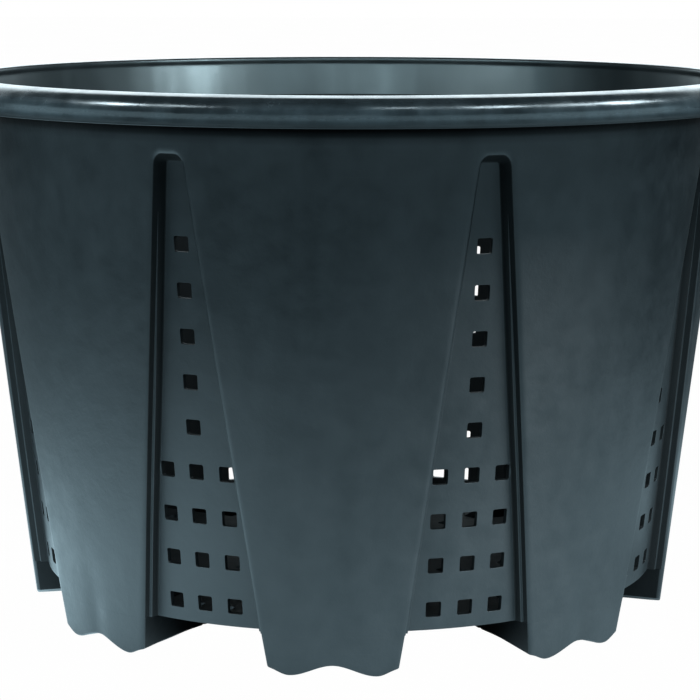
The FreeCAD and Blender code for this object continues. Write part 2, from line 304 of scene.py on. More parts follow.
        # painted light: the outer face of the rim made paler in patches, in place of the light it reflects
        painted_light_band = calc("MULTIPLY", span(sep.outputs["Z"], 0.2862, 0.2885, 0.0, 1.0), span(sep.outputs["Z"], 0.2945, 0.2968, 1.0, 0.2))
        patch = calc("ADD", calc("MULTIPLY", cloud, 0.6), calc("MULTIPLY", mottle, 0.4))
        pale = new("ShaderNodeVectorMath")
        pale.operation = "SCALE"
        link(shaded_base_colour.outputs["Vector"], pale.inputs[0])
        link(calc("ADD", calc("MULTIPLY", painted_light_band, span(patch, 0.40, 0.60, 0.7, 2.5)), 1.0), pale.inputs["Scale"])
        link(pale.outputs["Vector"], bsdf.inputs["Base Color"])
    # specular: the mouth's lit copy reflects twice as strongly as the outside; the shaded copy reflects weakly
    # (painted shade)
    bsdf.inputs["Specular IOR Level"].default_value = {"outside": 0.5, "mouth": 1.0, "low": 0.2}[kind]
    return mat


OUTSIDE = plastic("pot_plastic_satin", "outside")
# lit copy for the inside of the mouth: its own streaks, but twice the specular reflection so it shows brighter
# reflections, and a darker colour
MOUTH_LIT_COPY = plastic("pot_plastic_mouth_lit_copy", "mouth")
# shaded copy: painted shade for slot walls, vent walls, the feet's sides and wells, and the inside of the pot
PAINTED_SHADE = plastic("pot_plastic_painted_shade", "low")

# ------------------------------------------------------------------ mesh tools
class Shape:
    """Vertices, faces and corner normals of one closed piece."""

    def __init__(self):
        self.co, self.faces, self.nor, self.mat = [], [], [], []

    def add(self, p):
        self.co.append(np.array(p, float))
        return len(self.co) - 1

    def face(self, idx, nor=None, mat=0):
        if nor is None:
            p = [self.co[i] for i in idx]
            n = np.zeros(3)
            for i in range(len(p)):
                n += np.cross(p[i], p[(i + 1) % len(p)])
            ln = np.linalg.norm(n)
            n = n / ln if ln > 1e-12 else np.array((0.0, 0.0, 1.0))
            nor = [n] * len(idx)
        self.faces.append(tuple(idx))
        self.nor.append(nor)
        self.mat.append(mat)

    def piece(self, name, turn=0.0, second=None, third=None):
        c, s = math.cos(turn), math.sin(turn)
        m = np.array(((c, -s, 0.0), (s, c, 0.0), (0.0, 0.0, 1.0)))
        co = np.array(self.co) @ m.T * 0.001
        me = bpy.data.meshes.new(name)
        me.from_pydata(co.tolist(), [], self.faces)
        me.polygons.foreach_set("use_smooth", [True] * len(me.polygons))
        me.materials.append(OUTSIDE)
        if any(self.mat):
            # faces marked 1 take the second material, by default the shaded copy with painted shade
            me.materials.append(second or PAINTED_SHADE)
            if third:
                me.materials.append(third)
            me.polygons.foreach_set("material_index", self.mat)
        nor = np.array([n for f in self.nor for n in f]) @ m.T
        me.normals_split_custom_set(nor.tolist())
        me.update()
        ob = bpy.data.objects.new(name, me)
        bpy.context.scene.collection.objects.link(ob)
        return ob


def in_loop(loop, pts):
    x, y = pts[:, 0], pts[:, 1]
    got = np.zeros(len(pts), bool)
    a = np.array(loop)
    b = np.roll(a, -1, axis=0)
    for (x0, y0), (x1, y1) in zip(a, b):
        if y0 == y1:
            continue
        hit = (y0 > y) != (y1 > y)
        got ^= hit & (x < (x1 - x0) * (y - y0) / (y1 - y0) + x0)
    return got


def fill(loops, lines=(), dots=()):
    """Triangles of the region inside loops[0] and outside the others.
    Returns points, triangles and, for each loop, its point numbers."""
    pts, edges, runs = [], [], []
    for lp in loops:
        n0 = len(pts)
        pts += [tuple(p) for p in lp]
        n = len(lp)
        edges += [(n0 + i, n0 + (i + 1) % n) for i in range(n)]
        runs.append(list(range(n0, n0 + n)))
    for ln in lines:
        n0 = len(pts)
        pts += [tuple(p) for p in ln]
        edges += [(n0 + i, n0 + i + 1) for i in range(len(ln) - 1)]
    pts += [tuple(p) for p in dots]
    out, _, tris, orig, _, _ = delaunay_2d_cdt([Vector(p) for p in pts], edges, [], 0, 1e-5, True)
    out = np.array([(v.x, v.y) for v in out])
    where = {}
    for i, ids in enumerate(orig):
        for j in ids:
            where[j] = i
    tri = np.array([t for t in tris if len(t) == 3])
    mid = out[tri].mean(axis=1)
    keep = in_loop(loops[0], mid)
    for lp in loops[1:]:
        keep &= ~in_loop(lp, mid)
    tri = tri[keep]
    a, b, c = out[tri[:, 0]], out[tri[:, 1]], out[tri[:, 2]]
    area = (b[:, 0] - a[:, 0]) * (c[:, 1] - a[:, 1]) - (b[:, 1] - a[:, 1]) * (c[:, 0] - a[:, 0])
    tri[area < 0] = tri[area < 0][:, ::-1]
    used = np.unique(tri)
    remap = -np.ones(len(out), int)
    remap[used] = np.arange(len(used))
    return out[used], remap[tri], [[int(remap[where[i]]) for i in run] for run in runs]


def area2(loop):
    a = np.array(loop)
    b = np.roll(a, -1, axis=0)
    return float((a[:, 0] * b[:, 1] - a[:, 1] * b[:, 0]).sum())


def ccw(loop):
    return list(loop) if area2(loop) > 0 else list(loop)[::-1]


def rounded_square(cx, cy, half, rad, n=4):
    """Loop with the region around it on its left, so it runs clockwise."""
    out = []
    for q in range(4):
        ang = -q * math.pi / 2
        ox = (half - rad) * (1 if q in (0, 3) else -1)
        oy = (half - rad) * (1 if q in (0, 1) else -1)
        start = (math.pi / 2 if q == 0 else math.pi if q == 1 else 1.5 * math.pi if q == 2 else 2 * math.pi)
        for k in range(n + 1):
            t = start - (math.pi / 2) * k / n if False else start - math.pi / 2 * (1 - k / n)
            out.append((cx + ox + rad * math.cos(t), cy + oy + rad * math.sin(t)))
    return out if area2(out) < 0 else out[::-1]


def loop_normals(pts, centre):
    """Normals of a tube wall through a small loop, towards its middle."""
    p = np.array(pts)
    n = len(p)
    res = []
    for i in range(n):
        d = p[(i + 1) % n] - p[i - 1]
        m = centre - p[i]
        m = m - d * (m @ d) / max(d @ d, 1e-12)
        ln = np.linalg.norm(m)
        res.append(m / ln if ln > 1e-9 else np.array((0.0, 0.0, 1.0)))
    return res


# -------------------------------------------------- curves along a slot's edge
SCALE = 200.0                         # plan unit: angle times this


def iso(v_of_z, z_lo, fine=None):
    """Line at one distance into the slot, from the bottom up round to the
    slot's middle, as (arc on the leg face, height)."""
    top = Z_SLOT - RHO / TOPK
    zs = list(np.linspace(z_lo, top - 8.0, 30)) + [top - 5.0, top - 3.0, top - 1.5, top]
    if fine:
        zs = [z for z in zs if not fine[0] - 2 < z < fine[1] + 2] + list(np.arange(fine[0], fine[1] + 0.1, 1.5))
        zs.sort()
    v = v_of_z(top)
    pts = [(slot_half(z) - v_of_z(z), z) for z in zs]
    for k in range(1, 11):
        q = math.pi / 2 * k / 10
        z = Z_SLOT - (RHO - (RHO - v) * math.sin(q)) / TOPK
        pts.append((slot_half(z) - (RHO - (RHO - v) * math.cos(q)), z))
    s_end, z_end = pts[-1]
    pts += [(s_end * (1 - k / 3.0), z_end) for k in range(1, 4)]
    return pts


def edge_curve(z_lo=Z_FLOOR, fine=None):
    return iso(split_at, z_lo, fine)


def section_curves(section, steps, pick, fine=None):
    n = len(section(100.0, steps))
    res = []
    for j in range(n):
        if pick(j, n):
            res.append(iso(lambda z, j=j: section(z, steps)[j, 0], Z_FLOOR, fine))
    return res


OUT_STEPS, IN_STEPS = (6, 2, 2, 4), (3, 5)
WALL_PLACES = np.array([outer_section(z, OUT_STEPS)[:, 0] for z in LEVELS])


def on_wall(s, z, lo, hi):
    """True where a point of the skin lies on a steep slot wall, between two of
    the section's points."""
    f = (min(z, Z_SLOT - RHO / TOPK) - LEVELS[0]) / (LEVELS[1] - LEVELS[0])
    i = int(f)
    f -= i
    w = WALL_PLACES[i] * (1 - f) + WALL_PLACES[i + 1] * f
    return w[lo] < into_slot(s, z) < w[hi]


OUT_CURVES = section_curves(outer_section, OUT_STEPS, lambda j, n: 0 < j < n - 1)
LEG_OUT = OUT_CURVES[:11]             # face edge round to the step
FINE = (92.0, 118.0)
PANEL_OUT = section_curves(outer_section, OUT_STEPS, lambda j, n: 10 < j < n - 1, FINE)[1:]
IN_ALL = section_curves(inner_section, IN_STEPS, lambda j, n: 0 < j < n - 1)
IN_FINE = section_curves(inner_section, IN_STEPS, lambda j, n: 0 < j < n - 1, FINE)
EDGE = edge_curve()


def to_leg(curve, side):
    """Slot curve to plan points about the middle of the leg beside it."""
    return [(side * (HALF - s / face(z)) * SCALE, z) for s, z in curve]


def to_slot(curve, side):
    return [(side * s / face(z) * SCALE, z) for s, z in curve]


def shown(pts, test):
    """Runs of a line whose points pass a test."""
    runs, run = [], []
    for p in pts:
        if test(p):
            run.append(p)
        elif run:
            runs.append(run)
            run = []
    if run:
        runs.append(run)
    return runs


def outside_split(margin):
    """True for plan points on the leg's side of the step line."""
    def test(p):
        th, z = p[0] / SCALE, p[1]
        s = face(z) * (HALF - abs(th))
        return into_slot(s, z) < split_at(min(z, Z_SLOT)) - margin
    return test


# ------------------------------------------------------------------ leg walls
def meet(run, loop):
    """The curve with its points on the border moved to the border's own points,
    or left out where there is none near."""
    lp = np.array(loop)
    seg = np.roll(lp, -1, axis=0) - lp
    got = []
    for p in run:
        q = np.array(p, float)
        d = np.linalg.norm(lp - q, axis=1)
        k = int(np.argmin(d))
        if d[k] < 0.07:
            q = lp[k]
        else:
            t = np.clip(((q - lp) * seg).sum(axis=1) / np.maximum((seg * seg).sum(axis=1), 1e-12), 0.0, 1.0)
            if np.min(np.linalg.norm(lp + seg * t[:, None] - q, axis=1)) < 0.02:
                continue
        if not got or math.dist(got[-1], q) > 1e-6:
            got.append((float(q[0]), float(q[1])))
    return got


def leg_shape():
    right = to_leg(EDGE, 1)
    left = to_leg(EDGE, -1)
    x_b = right[0][0]
    z_t = right[-1][1]
    bottom = sorted({round(x, 4) for x in
                     [c[0][0] for c in map(lambda c: to_leg(c, 1), LEG_OUT + IN_ALL) if abs(c[0][0]) < x_b - 0.05]
                     + [c[0][0] for c in map(lambda c: to_leg(c, -1), LEG_OUT + IN_ALL) if abs(c[0][0]) < x_b - 0.05]
                     + list(np.linspace(-28, 28, 29))})
    clean = []
    for x in bottom:
        if not clean or x - clean[-1] > 0.06:
            clean.append(x)
    side_z = sorted({round(c[-1][1], 4) for c in LEG_OUT + IN_ALL if z_t + 0.05 < c[-1][1] < Z_LEG - 0.05})
    keep_z = []
    for z in side_z:
        if not keep_z or z - keep_z[-1] > 0.06:
            keep_z.append(z)
    edge_x = HALF * SCALE
    top = [(edge_x * (1 - 2 * k / 32.0), Z_LEG) for k in range(33)]
    loop = ([(x, Z_FLOOR) for x in [-x_b] + [x for x in clean if -x_b + 0.06 < x < x_b - 0.06] + [x_b]]
            + right[1:] + [(edge_x, z) for z in keep_z] + top + [(-edge_x, z) for z in keep_z[::-1]]
            + left[::-1][:-1])
    shp = Shape()

    def skin(curves, fn, sign, grid):
        lines = []
        test = outside_split(0.08)
        for c in curves:
            for side in (1, -1):
                for run in shown(to_leg(c, side), test):
                    run = meet(run, loop)
                    if len(run) > 1:
                        lines.append(run)
        first = to_leg(curves[0], 1)
        dots = []
        for z in np.linspace(Z_FLOOR, 264.0, 32):
            x_f = np.interp(z, [p[1] for p in first[:34]], [p[0] for p in first[:34]]) - 1.2
            n = grid
            if z > Z_FLOOR + 0.5:
                dots += [(x_f * (2 * i / n - 1), z) for i in range(n + 1)]
        if sign > 0:
            for z in np.arange(26.0, 70.0, 4.0):
                dots += [(x, z + 1.0) for x in np.linspace(-16, 16, 17)]
        dots += [(x, z) for z in (270.6, 273.4) for x in np.linspace(-edge_x + 14, edge_x - 14, 23)]
        pts, tri, runs = fill([loop], lines, dots)
        base = len(shp.co)
        nor = []
        for x, z in pts:
            th = x / SCALE
            shp.add(place(th, z, fn(th, z)))
            nor.append(skin_normal(fn, th, min(max(z, Z_FLOOR + 0.06), Z_LEG + 5), sign))
        for t in tri:
            t = t if sign > 0 else t[::-1]
            x, z = pts[t].mean(axis=0)
            # painted shade: the inner skin and the steep slot walls take the shaded copy
            takes_painted_shade = sign < 0 or on_wall(face(z) * (HALF - abs(x) / SCALE), z, 6, 8)
            shp.face([base + int(i) for i in t], [nor[int(i)] for i in t], 1 if takes_painted_shade else 0)
        return [base + i for i in runs[0]]

    a = skin(LEG_OUT, r_out, 1, 14)
    b = skin(IN_ALL, r_in, -1, 10)
    n = len(a)
    for i in range(n):
        j = (i + 1) % n
        shp.face((a[j], a[i], b[i], b[j]))
    return shp


# ------------------------------------------------------------------ vent panels
def vent_places():
    got = []
    for row in range(9):
        z = 223.9 - 23.85 * row
        for c in ((0,) if row < 5 else (-1, 0, 1)):
            got.append((c * 17.2, z))
    return got


VENT_HALF, VENT_RAD, VENT_EDGE = 4.05, 0.9, 0.16


def panel_shape():
    edge = edge_curve()
    right, left = to_slot(edge, 1), to_slot(edge, -1)
    x_b = right[0][0]
    raw = []
    for c in PANEL_OUT + IN_FINE:
        x = to_slot(c, 1)[0][0]
        if x < x_b - 0.05:
            raw += [x, -x]
    raw += list(np.linspace(-24, 24, 13))
    clean = []
    for x in sorted(raw):
        if (not clean or x - clean[-1] > 0.06) and abs(x) < x_b - 0.06:
            clean.append(x)
    loop = [(x, Z_FLOOR) for x in [-x_b] + clean + [x_b]] + right[1:] + left[::-1][1:-1]
    shp = Shape()
    flip = lambda fn: (lambda th, z: fn(HALF - abs(th), z))
    f_out, f_in = flip(r_out), flip(r_in)

    def holes(grow):
        res = []
        for arc, z in vent_places():
            rp = face(z) - DEEP
            k = SCALE / rp
            res.append([(x * k, y) for x, y in
                        rounded_square(arc, z, VENT_HALF + grow, VENT_RAD + grow)])
        return res

    def near(p, grow):
        for arc, z in vent_places():
            rp = face(z) - DEEP
            if abs(p[0] * rp / SCALE - arc) < VENT_HALF + grow and abs(p[1] - z) < VENT_HALF + grow:
                return True
        return False

    def skin(curves, fn, sign, grow):
        lines = []
        for c in curves:
            for side in (1, -1):
                pts = to_slot(c, side)

                def test(p):
                    s = abs(p[0]) / SCALE * face(p[1])
                    return into_slot(s, p[1]) > split_at(p[1]) + 0.08 and not near(p, grow + 0.45)
                for run in shown(pts, test):
                    if len(run) > 1:
                        lines.append(run)
        dots = []
        for z in np.arange(27.0, 262.0, 5.96):
            lim = (panel_half(z) - 2.4) / face(z) * SCALE
            n = max(2, int(2 * lim / 6.0))
            dots += [p for p in ((lim * (2 * i / n - 1), z) for i in range(n + 1)) if not near(p, grow + 0.7)]
        hl = holes(grow)
        pts, tri, runs = fill([loop] + hl, lines, dots)
        base = len(shp.co)
        nor = []
        for x, z in pts:
            th = x / SCALE
            shp.add(place(th, z, fn(th, z)))
            nor.append(skin_normal(fn, th, max(z, Z_FLOOR + 0.06), sign))
        for t in tri:
            t = t if sign > 0 else t[::-1]
            x, z = pts[t].mean(axis=0)
            # painted shade: the inner skin and the steep slot walls take the shaded copy
            takes_painted_shade = sign < 0 or on_wall(face(z) * abs(x) / SCALE, z, 13, 17)
            shp.face([base + int(i) for i in t], [nor[int(i)] for i in t], 1 if takes_painted_shade else 0)
        return [[base + i for i in r] for r in runs], nor, base

    a, na, base_a = skin(PANEL_OUT, f_out, 1, VENT_EDGE)
    b, nb, base_b = skin(IN_FINE, f_in, -1, 0.0)
    n = len(a[0])
    for i in range(n):
        j = (i + 1) % n
        shp.face((a[0][j], a[0][i], b[0][i], b[0][j]))
    for (arc, z), lo, li, nom in zip(vent_places(), a[1:], b[1:], holes(0.0)):
        # rounded outer edge, then the straight wall of the vent
        mid = []
        for x, y in nom:
            th = x / SCALE
            mid.append(shp.add(place(th, y, f_out(th, y) - VENT_EDGE)))
        rp = face(z) - DEEP
        centre = place(arc / rp, z, rp)
        wall = loop_normals([shp.co[i] for i in mid], centre)
        m = len(mid)
        for i in range(m):
            j = (i + 1) % m
            skin_i, skin_j = na[lo[i] - base_a], na[lo[j] - base_a]
            shp.face((lo[j], lo[i], mid[i], mid[j]), [skin_j, skin_i, wall[i], wall[j]])
            # painted shade: the straight wall of each vent takes the shaded copy
            shp.face((mid[j], mid[i], li[i], li[j]), [wall[j], wall[i], wall[i], wall[j]], 1)
    return shp


# ------------------------------------------------------------------ feet
FOOT_M, FOOT_IN = 0.36, 98.0


def foot_apex(z):
    return 83.0 - 0.376 * (z - 3.8)


def foot_outline(z, inset, arm_face, arm_side, r_end):
    """Plan loop of a foot as (along, across), anticlockwise, front middle first."""
    q = math.sqrt(1 + FOOT_M ** 2)
    R = face(z) - inset
    ap = foot_apex(z) + inset * q / FOOT_M
    a_in = FOOT_IN + inset
    m2 = FOOT_M ** 2
    ca = (m2 * ap + math.sqrt(m2 * m2 * ap ** 2 - (1 + m2) * (m2 * ap ** 2 - R ** 2))) / (1 + m2)
    corner = np.array((ca, (ca - ap) * FOOT_M))
    a0 = math.atan2(corner[1], corner[0]) - arm_face / R
    n_ang = math.atan2(1.0, -FOOT_M)
    half = [(R * math.cos(a0 * k / 24), R * math.sin(a0 * k / 24)) for k in range(25)]
    back = corner - np.array((1.0, FOOT_M)) / q * arm_side
    half += [tuple(v) for v in bend(half[-1], corner, back, 9)[1:]]
    ce = (a_in + r_end, (a_in + r_end - ap) * FOOT_M - r_end * q)
    end = (ce[0] + r_end * math.cos(n_ang), ce[1] + r_end * math.sin(n_ang))
    st = half[-1]
    for k in range(1, 11):
        half.append((st[0] + (end[0] - st[0]) * k / 10, st[1] + (end[1] - st[1]) * k / 10))
    for k in range(1, 6):
        t = n_ang + (math.pi - n_ang) * k / 5
        half.append((ce[0] + r_end * math.cos(t), ce[1] + r_end * math.sin(t)))
    if half[-1][1] > 0.05:
        half.append((a_in, half[-1][1] * 0.4))
    mirror = [(a, -b) for a, b in half[1:]][::-1]
    return np.array(half + mirror)


def sole(a, b):
    """Height of a foot's underside: two lobes, a hump between, raised edges."""
    w = max(1.0, (a - foot_apex(3.7)) * FOOT_M)
    u = min(abs(b) / w, 1.0) * 34.5
    g = min(max((a - FOOT_IN) / (179.0 - FOOT_IN), 0.0), 1.0)
    if u < 23.0:
        return 2.8 * g * (1 + math.cos(math.pi * u / 23.0))
    return 1.85 * (1 - math.cos(math.pi * (u - 23.0) / 11.5))


def foot_shape():
    shp = Shape()
    EDGE_R = 1.0
    zs = np.linspace(0.0, Z_FLOOR, 12)
    full = np.array([foot_outline(z, 0.0, ROUND_FACE, 2.0, 4.5) for z in zs])
    tuck = np.array([foot_outline(z, EDGE_R, ROUND_FACE - 0.6, 1.4, 3.5) for z in zs])
    well = np.array([foot_outline(z, WALL, 1.6, 1.0, 1.6) for z in zs])
    n = full.shape[1]

    def at(table, i, z):
        f = min(max(z / Z_FLOOR, 0.0), 0.9999) * (len(zs) - 1)
        k = int(f)
        f -= k
        return table[k, i] * (1 - f) + table[k + 1, i] * f

    low = [sole(*at(tuck, i, 4.0)) for i in range(n)]
    rows, nors = [], []
    count = 12
    front = [i for i in range(n) if i <= 24 or i >= n - 24]

    def outward(table, i, z):
        p0, p1 = at(table, i - 1 if i else n - 1, z), at(table, (i + 1) % n, z)
        d = p1 - p0
        m = np.array((d[1], -d[0], 0.0))
        return m / np.linalg.norm(m)

    def vertex(i, z, w):
        p = at(full, i, z) * (1 - w) + at(tuck, i, z) * w
        if i in front_set:
            p = p * (1 - flute(p[1], z) / np.linalg.norm(p))
        return np.array((p[0], p[1], z))

    front_set = set(front)
    # side, then the rounded lower edge
    spec = [(k / count, 0.0) for k in range(count + 1)] + [(None, q) for q in (22.5, 45.0, 67.5, 90.0)]
    for f, ang in spec:
        ring, rn = [], []
        for i in range(n):
            z_end = low[i] + EDGE_R
            if f is not None:
                z, w = Z_FLOOR + (z_end - Z_FLOOR) * f, 0.0
                tilt = 0.0
            else:
                q = math.radians(ang)
                z, w = low[i] + EDGE_R * (1 - math.sin(q)), 1 - math.cos(q)
                tilt = q
            ring.append(vertex(i, z, w))
            o = outward(full, i, z)
            if i in front_set:
                h = 0.4
                va, vb = vertex(i, z + h, 0.0), vertex(i, z - h if z > h else 0.0, 0.0)
                vl, vr = vertex(i - 1 if i else n - 1, z, 0.0), vertex((i + 1) % n, z, 0.0)
                o = np.cross(vr - vl, va - vb)
                o = o / np.linalg.norm(o)
            else:
                va, vb = vertex(i, min(z + 2, Z_FLOOR), 0.0), vertex(i, max(z - 2, 0.0), 0.0)
                up = (va - vb) / np.linalg.norm(va - vb)
                o = o - up * (o @ up)
                o = o / np.linalg.norm(o)
            rn.append(o * math.cos(tilt) + np.array((0, 0, -1.0)) * math.sin(tilt))
        rows.append([shp.add(p) for p in ring])
        nors.append(rn)
    for k in range(len(rows) - 1):
        for i in range(n):
            j = (i + 1) % n
            # painted shade: faces along the sides of the foot, away from its front, take the shaded copy
            shp.face((rows[k][i], rows[k + 1][i], rows[k + 1][j], rows[k][j]),
                     [nors[k][i], nors[k + 1][i], nors[k + 1][j], nors[k][j]], 1 if 33 <= i < n - 33 else 0)

    def floor_of(loop_ids, lift, sign, mat=0):
        loop = [tuple(shp.co[i][:2]) for i in loop_ids]
        dots = []
        for a in np.arange(FOOT_IN + 6.0, 180.0, 5.0):
            w = (a - foot_apex(4.0)) * FOOT_M
            k = max(4, int(w / 1.6))
            dots += [(a, w * (2 * i / k - 1)) for i in range(k + 1)]
        arr = np.array(dots)
        lp = np.array(loop)
        ok = in_loop(loop, arr)
        dist = np.min(np.linalg.norm(arr[:, None, :] - lp[None, :, :], axis=2), axis=1)
        dots = [tuple(p) for p, g, d in zip(arr, ok, dist) if g and d > 1.0]
        pts, tri, runs = fill([loop], [], dots)
        ids, nor = {}, {}
        for li, gi in zip(runs[0], loop_ids):
            ids[li] = gi
        h = 0.2
        for i, (a, b) in enumerate(pts):
            if i not in ids:
                ids[i] = shp.add((a, b, sole(a, b) + lift))
            dx = (sole(a + h, b) - sole(a - h, b)) / (2 * h)
            dy = (sole(a, b + h) - sole(a, b - h)) / (2 * h)
            v = np.array((-dx, -dy, 1.0)) * sign
            nor[i] = v / np.linalg.norm(v)
        for t in tri:
            t = t if sign > 0 else t[::-1]
            shp.face([ids[int(i)] for i in t], [nor[int(i)] for i in t], mat)

    floor_of(rows[-1], 0.0, -1)
    # the well inside, in the shaded copy (painted shade)
    wl, wn = [], []
    deep = [sole(*at(well, i, 8.0)) + 3.0 for i in range(n)]
    for f in np.linspace(0.0, 1.0, 7):
        ring, rn = [], []
        for i in range(n):
            z = Z_FLOOR + (deep[i] - Z_FLOOR) * f
            p = at(well, i, z)
            ring.append(shp.add((p[0], p[1], z)))
            rn.append(-outward(well, i, z))
        wl.append(ring)
        wn.append(rn)
    for k in range(len(wl) - 1):
        for i in range(n):
            j = (i + 1) % n
            shp.face((wl[k][i], wl[k][j], wl[k + 1][j], wl[k + 1][i]),
                     [wn[k][i], wn[k][j], wn[k + 1][j], wn[k + 1][i]], 1)
    floor_of(wl[-1], 3.0, 1, 1)
    for i in range(n):
        j = (i + 1) % n
        shp.face((rows[0][i], rows[0][j], wl[0][j], wl[0][i]))
    return shp


# ------------------------------------------------------------------ raised floor
def floor_shape():
    shp = Shape()
    R = face(Z_FLOOR) - DEEP - WALL + 1.5
    lo, hi = Z_FLOOR, Z_FLOOR + 3.0
    q = math.sqrt(1 + FOOT_M ** 2)
    ap = foot_apex(Z_FLOOR) + WALL * q / FOOT_M
    a_in = FOOT_IN + WALL
    loop = []
    for k in range(COUNT):
        mid = FRONT + k * PITCH
        m2 = FOOT_M ** 2
        a = (m2 * ap + math.sqrt(m2 * m2 * ap ** 2 - (1 + m2) * (m2 * ap ** 2 - R ** 2))) / (1 + m2)
        b = (a - ap) * FOOT_M
        out_r, in_r = np.array((a, b)), np.array((a_in, (a_in - ap) * FOOT_M))
        seq = ([(1 - t) * out_r + t * in_r for t in np.linspace(0, 1, 9)]
               + [(1 - t) * in_r + t * in_r * np.array((1, -1)) for t in (0.5,)]
               + [((1 - t) * in_r + t * out_r) * np.array((1, -1)) for t in np.linspace(0, 1, 9)])
        seq = [s * np.array((1, -1)) for s in seq]
        c, s = math.cos(mid), math.sin(mid)
        loop += [(p[0] * c - p[1] * s, p[0] * s + p[1] * c) for p in seq]
        a0 = mid + math.atan2(b, a)
        a1 = mid + PITCH - math.atan2(b, a)
        loop += [(R * math.cos(t), R * math.sin(t)) for t in np.linspace(a0, a1, 14)[1:-1]]
    holes = []

    def drain(rad, across, ang):
        sq = rounded_square(rad, across, 4.0, 1.2)
        c, s = math.cos(ang), math.sin(ang)
        holes.append([(x * c - y * s, x * s + y * c) for x, y in sq])
    for k in range(COUNT):
        mid = FRONT + (k + 0.5) * PITCH
        for rad, across in ((154, -18), (154, 0), (154, 18), (126, -18), (126, 0), (126, 18), (98, 0), (66, 0)):
            drain(rad, across, mid)
        drain(40, 0, FRONT + k * PITCH)
        drain(80, 0, FRONT + k * PITCH)
    drain(0, 0, 0.0)
    dots = []
    for rr in (20, 33, 53, 90, 112, 140, 166):
        for t in np.linspace(0, 2 * math.pi, max(8, int(rr * 0.5)), endpoint=False):
            p = np.array((rr * math.cos(t), rr * math.sin(t)))
            near = min(np.min(np.linalg.norm(np.array(h) - p, axis=1)) for h in holes)
            edge = np.min(np.linalg.norm(np.array(loop) - p, axis=1))
            if near > 3.0 and edge > 3.0:
                dots.append(tuple(p))
    pts, tri, runs = fill([loop] + holes, [], dots)
    top = [shp.add((x, y, hi)) for x, y in pts]
    bot = [shp.add((x, y, lo)) for x, y in pts]
    up, dn = np.array((0, 0, 1.0)), np.array((0, 0, -1.0))
    for t in tri:
        # painted shade: the top of the raised floor, inside the pot, takes the shaded copy
        shp.face([top[i] for i in t], [up] * 3, 1)
        shp.face([bot[i] for i in t[::-1]], [dn] * 3)
    for k, run in enumerate(runs):
        m = len(run)
        wall = None
        if k:
            pos = [np.array((*pts[i], lo)) for i in run]
            wall = loop_normals(pos, np.mean(pos, axis=0))
        for i in range(m):
            j = (i + 1) % m
            idx = (top[run[j]], top[run[i]], bot[run[i]], bot[run[j]])
            shp.face(idx, [wall[j], wall[i], wall[i], wall[j]] if wall else None)
    return shp


# ------------------------------------------------------------------ turned pieces
def turned(profile, sharp=38.0, wall=1):
    """Closed (radius, height) profile, anticlockwise with radius to the right.
    The steep inner face takes the material numbered wall."""
    prof = np.array(ccw(profile))
    m = len(prof)
    seg = np.roll(prof, -1, axis=0) - prof
    ln = np.linalg.norm(seg, axis=1)
    nrm = np.stack((seg[:, 1], -seg[:, 0]), axis=1) / ln[:, None]
    start, end = nrm.copy(), nrm.copy()
    for i in range(m):
        p = i - 1
        if nrm[p] @ nrm[i] > math.cos(math.radians(sharp)):
            w = nrm[p] * ln[p] ** -0.5 + nrm[i] * ln[i] ** -0.5
            w /= np.linalg.norm(w)
            end[p], start[i] = w, w
    shp = Shape()
    ang = [2 * math.pi * k / SEG + FRONT for k in range(SEG)]
    ids = [[shp.add((p[0] * math.cos(t), p[0] * math.sin(t), p[1])) for p in prof] for t in ang]

    def spin(v, t):
        return np.array((v[0] * math.cos(t), v[0] * math.sin(t), v[1]))
    for k in range(SEG):
        k2 = (k + 1) % SEG
        for i in range(m):
            j = (i + 1) % m
            shp.face((ids[k][i], ids[k2][i], ids[k2][j], ids[k][j]),
                     [spin(start[i], ang[k]), spin(start[i], ang[k2]),
                      spin(end[i], ang[k2]), spin(end[i], ang[k])],
                     0 if nrm[i, 0] > -0.2 or prof[i, 0] > 215 else wall if nrm[i, 0] < -0.95 else 1)
    return shp


def arc(c, ra, rb, a0, a1, n):
    return [(c[0] + ra * math.cos(math.radians(a0 + (a1 - a0) * k / n)),
             c[1] + rb * math.sin(math.radians(a0 + (a1 - a0) * k / n))) for k in range(n + 1)]


# rim section: rounded inner edge, nearly level top, full round shoulder, upright
# outer face, tight lower edge, and the hollow underneath
UNDER = Z_UNDER


def mouth(z):
    """Inner radius near the top, with a slight bead inwards under the rim."""
    return face(z) - WALL - 0.7 * float(smooth((z - 295.2) / 3.4))


LIP = mouth(298.8)
inner_edge = [(mouth(z), z) for z in np.linspace(UNDER, 298.0, 6)] + arc((LIP + 1.2, 298.8), 1.2, 1.2, 180, 90, 6)
over = ([(216.5, Z_TOP)] + arc((220.0, 289.453), 10.0, 10.0, 82.5, 0.0, 26)
        + [(230.0, 287.8), (229.75, 287.1)]
        + rounded([(229.75, 286.4), (229.75, 285.0), (227.0, 285.0), (227.0, 291.4), (220.65, UNDER)],
                  [0.5, 0.5, 3.0], [4, 3, 6]).tolist())
slope = [i for i in range(len(over) - 1) if over[i][1] > UNDER >= over[i + 1][1]][0]
hi_p, lo_p = over[slope], over[slope + 1]
f = (hi_p[1] - UNDER) / (hi_p[1] - lo_p[1])
at_cut = (hi_p[0] + (lo_p[0] - hi_p[0]) * f, UNDER)
rim_profile = inner_edge + over[:slope + 1] + [at_cut, (220.65, UNDER), (face(UNDER), UNDER)]
skirt_profile = [at_cut] + over[slope + 1:]
band_profile = [(mouth(z), z) for z in (UNDER, 295.9, 295.6, 295.2, 294.0, 290.0, 285.0, 280.0, Z_LEG)] + \
               [(face(z), z) for z in np.linspace(Z_LEG, UNDER, 6)]

# ------------------------------------------------------------------ build pieces
PIECES = []


def keep(ob, node):
    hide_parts(node)
    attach(ob, "root")
    PIECES.append(ob)
    return ob


